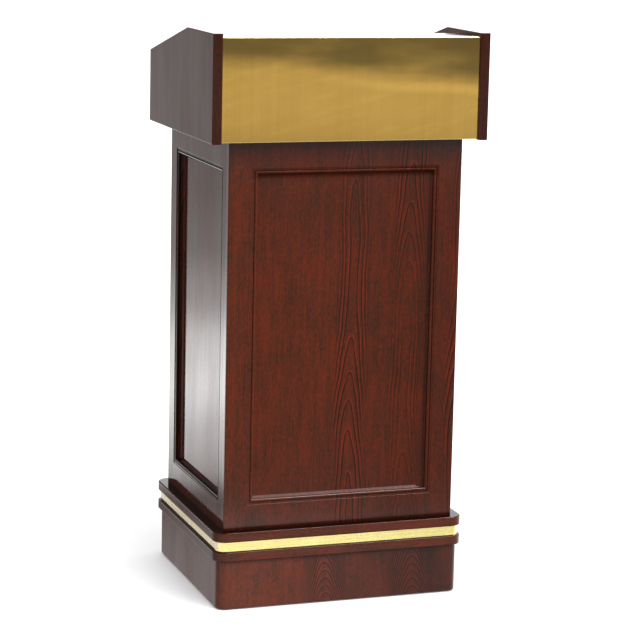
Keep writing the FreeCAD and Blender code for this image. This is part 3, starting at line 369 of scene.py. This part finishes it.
def brass(name, along, seed, base, rough, spread, reflected_veil=None, pale=None, highlight_rims=()):
    """Lacquered sheet brass with fine brushing along one axis, which spreads
    its reflections by spread. tarnish is a painted dark reflection, a veil
    (height where it starts, height where it is full, its colour), with a painted
    highlight just under it. pale is a painted sheen (x where the sheet is palest,
    x where that ends, colour), and rims are painted highlights along the folds,
    each (lowest, highest, colour)."""
    material, g, shader = new_material(name)
    place = g.place()
    scale = [BRUSH_ACROSS] * 3
    scale["XYZ".index(along)] = BRUSH_ALONG
    brush = g.noise(g.join(*[g.times(p, s) for p, s in zip(place, scale)]), 3.0, 0.6)
    coarse = g.noise(g.join(*[g.times(p, s * 0.12) for p, s in zip(place, scale)]), 2.0, 0.5)
    cloud = g.noise(g.join(*[g.plus(g.times(p, 9.0), seed) for p in place]), 2.0, 0.5)
    # wiping marks that climb a little to the right
    wiped = g.minus(g.times(place[2], WIPE_UP), g.times(place[0], WIPE_LEAN))
    wiped = g.join(g.times(place[0], WIPE_ACROSS), g.plus(seed, 2.0), wiped)
    smear = g.noise(wiped, 3.0, 0.6)
    colour = g.mix(g.range(brush, 0.3, 0.7), scaled(base, 0.94), scaled(base, 1.04))
    colour = g.mix(g.range(cloud, 0.3, 0.7, 0.0, 0.45), colour, scaled(base, 0.92, 0.89, 0.84))
    colour = g.mix(g.range(smear, 0.46, 0.74, 0.0, 0.50), colour, scaled(base, 1.12))
    colour = g.mix(g.range(smear, 0.50, 0.26, 0.0, 0.35), colour, scaled(base, 0.88))
    # painted sheen: the strip is paler at its left end
    if pale:
        left, right, tint = pale
        colour = g.mix(g.range(place[0], left, right), tint, colour)
    if reflected_veil:
        low, high, reflected_dark = reflected_veil
        # painted dark reflection over the upper part of the sheet: the veil's lower edge rises to
        # the left, and is cloudy
        swell = g.noise(g.join(g.times(place[0], 3.2), seed, 0.0), 1.0, 0.4)
        patch = g.join(g.times(place[0], 5.5), g.plus(seed, 5.0), g.times(place[2], 17.0))
        patch = g.noise(patch, 2.5, 0.55)
        level = g.plus(place[2], g.times(place[0], VEIL_LEAN))
        firm = g.plus(level, g.swing(swell, 0.030))
        soft = g.plus(firm, g.swing(patch, 0.042))
        veil = g.times(g.range(soft, low, high), g.range(patch, 0.30, 0.60, 0.72, 1.0))
        # painted highlight: a lighter stroke just under the veil, to the right
        stroke = g.range(firm, low - 0.018, low - 0.004)
        stroke = g.times(stroke, g.range(firm, low + 0.012, low - 0.002))
        stroke = g.times(stroke, g.range(place[0], -0.10, 0.12, 0.1, 0.8))
        colour = g.mix(veil, colour, reflected_dark)
        colour = g.mix(stroke, colour, scaled(base, 1.20))
    # painted highlights along the sheet's folds
    for low, high, tint in highlight_rims:
        inside = g.math("COMPARE", place[2], (low + high) / 2, (high - low) / 2)
        colour = g.mix(inside, colour, tint)
    g.feed(shader.inputs["Base Color"], colour)
    shader.inputs["Metallic"].default_value = 1.0
    scratch = g.plus(brush, g.times(coarse, 0.5))
    g.feed(shader.inputs["Roughness"], g.range(scratch, 0.5, 1.0, rough * 0.85, rough * 1.2))
    height = g.plus(g.times(brush, 0.8), g.times(coarse, 0.35))
    g.feed(shader.inputs["Normal"], g.bump(height, 0.12, 0.0002))
    around = g.add("ShaderNodeTangent", direction_type="RADIAL", axis="Z")
    g.feed(shader.inputs["Tangent"], around.outputs[0])
    shader.inputs["Anisotropic"].default_value = spread
    return material


def steel(name, tint, rough, seed):
    """Bright plated steel with slight blotches."""
    material, g, shader = new_material(name)
    blotch = g.noise(g.join(*[g.plus(g.times(p, 260.0), seed) for p in g.place()]), 3.0, 0.6)
    g.feed(shader.inputs["Base Color"], g.mix(g.range(blotch, 0.3, 0.7), scaled(tint, 0.86), tint))
    shader.inputs["Metallic"].default_value = 1.0
    g.feed(shader.inputs["Roughness"], g.range(blotch, 0.3, 0.7, rough * 0.8, rough * 1.3))
    return material


def nylon(name):
    """Dark moulded pad with a fine grain."""
    material, g, shader = new_material(name)
    grain = g.noise(g.join(*[g.times(p, 1500.0) for p in g.place()]), 2.0, 0.6)
    g.feed(shader.inputs["Base Color"], g.mix(grain, (0.010, 0.010, 0.011), (0.020, 0.020, 0.022)))
    g.feed(shader.inputs["Roughness"], g.range(grain, 0.3, 0.7, 0.45, 0.6))
    g.feed(shader.inputs["Normal"], g.bump(grain, 0.25, 0.0002))
    return material


# ------------------------------------------------------------ materials
# (across axis, along axis) for the front, the sides and level faces
UPRIGHT = (("X", "Z"), ("Y", "Z"), ("X", "Y"))
LEVEL = (("Z", "X"), ("Z", "Y"), ("Y", "X"))
# painted shade and light on the front: darker at the foot, under the head, towards the top and
# bottom and towards the right, lighter at the left edge
FRONT_PAINTED_SHADE = (
    (2, 0.1675, 0.1815, 0.40, 1.0),
    (2, 0.970, 0.900, 0.60, 1.0),
    (0, -0.10, 0.253, 1.05, 0.88),
    (0, -0.2525, -0.19, 1.13, 1.0),
    (2, 0.950, 0.600, 0.92, 1.0),
    (2, 0.17, 0.38, 0.84, 1.0),
)
# painted light and shade on the skirt: lighter to the left, darker to the right
SKIRT_PAINTED_LIGHT = ((0, -0.26, 0.26, 1.38, 0.57),)

front_low, front_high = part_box("body_front_panel")
FRONT_THIN = (front_low[1], front_high[0], 0.895, 0.902)
side_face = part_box("body_side_right")[1][0]
band_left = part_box("brass_band")[0][0]

# sheet colour and its painted dark reflection; painted highlights on the folds; strip colour and its
# painted sheen at the left end
SHEET_BRASS, REFLECTED_DARK_BRASS = (0.74, 0.455, 0.108), (0.265, 0.176, 0.050)
LOW_RIM_HIGHLIGHT = (0.970, 0.9765, (0.95, 0.74, 0.30))
TOP_RIM_HIGHLIGHT = (1.1838, 1.19, (0.97, 0.80, 0.46))
STRIP_BRASS, SHEEN_BRASS = (1.0, 0.845, 0.345), (1.0, 0.83, 0.53)

paint = {
    "panel_front": wood(
        "wood_front", *UPRIGHT, seed=1.0, middle_at=0.024, bare=(-1, -2), coat=1.45,
        thin=FRONT_THIN, painted_shading=FRONT_PAINTED_SHADE),
    "panel_side": wood("wood_side", *UPRIGHT, seed=5.0, middle_at=0.02, sunk=side_face),
    "skirt": wood(
        "wood_skirt", *UPRIGHT, seed=10.0, middle_at=-0.030, leaf_width=0.195,
        arches=SKIRT_ARCHES, show=0.8, bare=(-1,), painted_shading=SKIRT_PAINTED_LIGHT),
    # painted shade: the boards' level faces are darkened to 0.14
    "board": wood("wood_board", *LEVEL, seed=13.0, show=0.25, top_shade=0.14),
    "cheek": wood("wood_cheek", *UPRIGHT, seed=17.0, show=0.6, tone=0.9, edge_tone=0.5),
    "inside": wood("wood_inside", *LEVEL, seed=21.0, gloss=0.12),
    "core": raw_wood("wood_core", (0.50, 0.36, 0.22), (0.36, 0.24, 0.13), "Z", 2.0),
    "dowel": raw_wood("wood_dowel", (0.62, 0.47, 0.29), (0.48, 0.34, 0.19), "X", 4.0),
    "brass_face": brass(
        "brass_face_sheet", "Z", 3.0, SHEET_BRASS, 0.15, 0.95,
        reflected_veil=(1.098, 1.146, REFLECTED_DARK_BRASS), highlight_rims=(LOW_RIM_HIGHLIGHT, TOP_RIM_HIGHLIGHT)),
    "brass_band": brass(
        "brass_band_strip", "X", 8.0, STRIP_BRASS, 0.10, 0.0,
        pale=(band_left, band_left + 0.012, SHEEN_BRASS)),
    "zinc": steel("zinc_steel", (0.62, 0.64, 0.67), 0.28, 1.0),
    "nickel": steel("nickel_steel", (0.70, 0.67, 0.60), 0.20, 5.0),
    "nylon": nylon("nylon_pad"),
}
use = {
    "body_front_panel": "panel_front",
    "body_side_left": "panel_side",
    "body_side_right": "panel_side",
    "plinth_skirt": "skirt",
    "lower_board": "board",
    "ledge_board": "board",
    "cheek_left": "cheek",
    "cheek_right": "cheek",
    "brass_face": "brass_face",
    "brass_band": "brass_band",
    "glue_blocks": "core",
    "plinth_corner_blocks": "core",
    "band_core": "core",
    "cheek_dowels": "dowel",
    "shelf_pins": "nickel",
}


def paint_of(name):
    """A node's material. What isn't listed in use is hardware or inner wood."""
    if name in use:
        return paint[use[name]]
    if name.startswith("glide_pad"):
        return paint["nylon"]
    if name.startswith("glide_") or name.endswith("screws"):
        return paint["zinc"]
    return paint["inside"]


for name, item in nodes.items():
    item.data.materials.clear()
    item.data.materials.append(paint_of(name))

# ------------------------------------------------------------ floor
FLOOR_HALF = 45.0
corners = [(FLOOR_HALF * x, FLOOR_HALF * y, 0) for x, y in ((-1, -1), (1, -1), (1, 1), (-1, 1))]
floor_mesh = bpy.data.meshes.new("studio_floor")
floor_mesh.from_pydata(corners, [], [(0, 1, 2, 3)])
floor = bpy.data.objects.new("studio_floor", floor_mesh)
scene.collection.objects.link(floor)
floor_paint, g, shader = new_material("studio_floor_paint")
speck = g.noise(g.add("ShaderNodeTexCoord").outputs["Object"], 2.0, 0.5)
g.feed(shader.inputs["Base Color"], g.mix(speck, (0.84, 0.84, 0.85), (0.88, 0.88, 0.88)))
shader.inputs["Roughness"].default_value = 0.9
shader.inputs["Specular IOR Level"].default_value = 0.0
floor.data.materials.append(floor_paint)
floor.visible_glossy = False
floor.visible_diffuse = False

# ------------------------------------------------------------ surround
# what the lacquer and the brass reflect: brightness against degrees over the
# horizon, in front, behind on the left, and behind on the right
LOWEST, HIGHEST = -30.0, 30.0
IN_FRONT = (
    (-30, 0.3), (-24, 0.8), (-19, 1.35), (-16.8, 1.4), (-16.2, 1.75), (-15.9, 1.75), (-15.55, 0.4),
    (-15.4, 0.20), (-14.0, 0.16), (-7.1, 0.20), (-6.45, 0.84), (-5.4, 0.78), (-4.4, 0.78),
    (-3.8, 0.36), (4, 0.12), (30, 0.15),
)
REAR_LEFT = (
    (-30, 0.8), (-18, 0.78), (-16.8, 0.75), (-15.85, 0.62), (-15.5, 0.40), (-15.3, 0.22),
    (-15.0, 0.30), (-14.6, 1.9), (-13.7, 2.7), (-12.5, 4.3), (-11.5, 3.65), (-10.3, 1.6),
    (-9.0, 0.90), (-7.5, 0.70), (3, 0.5), (12, 0.2),
)
REAR_RIGHT = ((-30, 1.5), (-12, 2.4), (-4, 2.3), (5, 2.0), (16, 2.0), (24, 1.2), (30, 0.5))
# where the rear begins, in way[1], and its right, in degrees from +Y
REAR_FROM, REAR_FULL = -0.25, 0.10
RIGHT_FROM, RIGHT_FULL = 8.0, 15.0
# a soft box high in front, for the rounded edges: its brightness, the degrees
# over the horizon where it starts and is full, where it first thins and how
# much, where it thins again, and its sides in way[0]
BOX_LIGHT, BOX_FROM, BOX_FULL = 22.0, 50.0, 54.0
BOX_THINS, BOX_THIN, BOX_THIN_LIGHT = 62.0, 66.5, 0.11
BOX_THINS_AGAIN, BOX_THINNEST, BOX_THINNEST_LIGHT = 72.0, 78.0, 0.20
BOX_LEFT, BOX_LEFT_FULL, BOX_RIGHT_FULL, BOX_RIGHT = 0.10, 0.20, 0.45, 0.60
# what everything else is lit by, and what the camera sees
SKY, BACKDROP = 0.34, 0.8

world = bpy.data.worlds.new("studio")
scene.world = world
world.use_nodes = True
g = Graph(world.node_tree)
way = g.split(g.add("ShaderNodeTexCoord").outputs["Generated"])
level = g.math("SQRT", g.plus(g.times(way[0], way[0]), g.times(way[1], way[1])))
pitch = g.times(g.math("ARCTAN2", way[2], level), 180.0 / math.pi)
turn = g.times(g.math("ARCTAN2", way[0], way[1]), 180.0 / math.pi)


def by_pitch(stops):
    """Brightness by pitch, from stops of (degrees, brightness)."""
    peak = max(v for _, v in stops)
    place = g.range(pitch, LOWEST, HIGHEST, 0.0, 1.0, smooth=False)
    stops = [((p - LOWEST) / (HIGHEST - LOWEST), v / peak) for p, v in stops]
    return g.times(g.ramp(place, stops), peak)


def white_light(strength):
    """A white background of this strength."""
    node = g.add("ShaderNodeBackground")
    node.inputs["Color"].default_value = (1.0, 1.0, 1.0, 1.0)
    g.feed(node.inputs["Strength"], strength)
    return node.outputs[0]


def pick(share, a, b):
    """Background b where share is 1, else a."""
    node = g.add("ShaderNodeMixShader")
    for socket, value in zip(node.inputs, (share, a, b)):
        g.feed(socket, value)
    return node.outputs[0]


is_right = g.range(turn, RIGHT_FROM, RIGHT_FULL)
rear = g.mix_value(is_right, by_pitch(REAR_LEFT), by_pitch(REAR_RIGHT))
seen = g.mix_value(g.range(way[1], REAR_FROM, REAR_FULL), by_pitch(IN_FRONT), rear)
box = g.range(pitch, BOX_FROM, BOX_FULL, 0.0, BOX_LIGHT)
box = g.times(box, g.range(pitch, BOX_THIN, BOX_THINS, BOX_THIN_LIGHT, 1.0))
box = g.times(box, g.range(pitch, BOX_THINNEST, BOX_THINS_AGAIN, BOX_THINNEST_LIGHT, 1.0))
sides = g.times(g.range(way[0], BOX_LEFT, BOX_LEFT_FULL), g.range(way[0], BOX_RIGHT, BOX_RIGHT_FULL))
seen = g.plus(seen, g.times(box, sides))
path = g.add("ShaderNodeLightPath")
lit = pick(path.outputs["Is Glossy Ray"], white_light(SKY), white_light(seen))
out = g.add("ShaderNodeOutputWorld")
g.feed(out.inputs[0], pick(path.outputs["Is Camera Ray"], lit, white_light(BACKDROP)))


# ------------------------------------------------------------ suns
def sun(name, toward, angle, power, glossy):
    """A soft sun in the direction toward, angle degrees wide. The coat
    reflects it if it is glossy."""
    lamp = bpy.data.lights.new(name, "SUN")
    lamp.angle = math.radians(angle)
    lamp.energy = power
    item = bpy.data.objects.new(name, lamp)
    item.rotation_mode = "QUATERNION"
    item.rotation_quaternion = (-Vector(toward)).to_track_quat("-Z", "Y")
    item.visible_glossy = glossy
    scene.collection.objects.link(item)
    return item


sun("key", (0.36, -0.64, 0.67), 46.0, 2.90, False)
sun("side", (0.94, -0.28, 0.20), 24.0, 0.8, True)
sun("left", (-0.90, -0.20, 0.35), 40.0, 0.34, False)
sun("back", (0.25, 0.95, 0.14), 40.0, 1.6, False)
# light that only the floor receives, so that it is pale
floor_fill = sun("floor_fill", (0.0, 0.0, 1.0), 90.0, 2.7, False)
only_floor = bpy.data.collections.new("floor_only")
only_floor.objects.link(floor)
floor_fill.light_linking.receiver_collection = only_floor

# ------------------------------------------------------------ camera
CAMERA_PLACE = (-1.6389, -4.7096, 1.5123)
TURN, PITCH, ROLL = (math.radians(v) for v in (-19.216, 10.233, 1.242))
SENSOR, LENS_IN_FRAMES = 36.0, 3.6793
SHIFT_X, SHIFT_Y = 0.01285, -0.0360
FARTHEST = 200.0
back = Vector((math.sin(TURN) * math.cos(PITCH), -math.cos(TURN) * math.cos(PITCH), math.sin(PITCH)))
right = Vector((math.cos(TURN), math.sin(TURN), 0.0))
up = back.cross(right)
rolled_right = right * math.cos(ROLL) + up * math.sin(ROLL)
rolled_up = up * math.cos(ROLL) - right * math.sin(ROLL)
lens = bpy.data.cameras.new("camera")
lens.sensor_width = SENSOR
lens.lens = SENSOR * LENS_IN_FRAMES
lens.shift_x = SHIFT_X
lens.shift_y = SHIFT_Y
lens.clip_end = FARTHEST
camera = bpy.data.objects.new("camera", lens)
scene.collection.objects.link(camera)
turned = Matrix((rolled_right, rolled_up, back)).transposed().to_4x4()
camera.matrix_world = Matrix.Translation(CAMERA_PLACE) @ turned
scene.camera = camera
scene.view_settings.view_transform = "Standard"
scene.view_settings.look = "None"
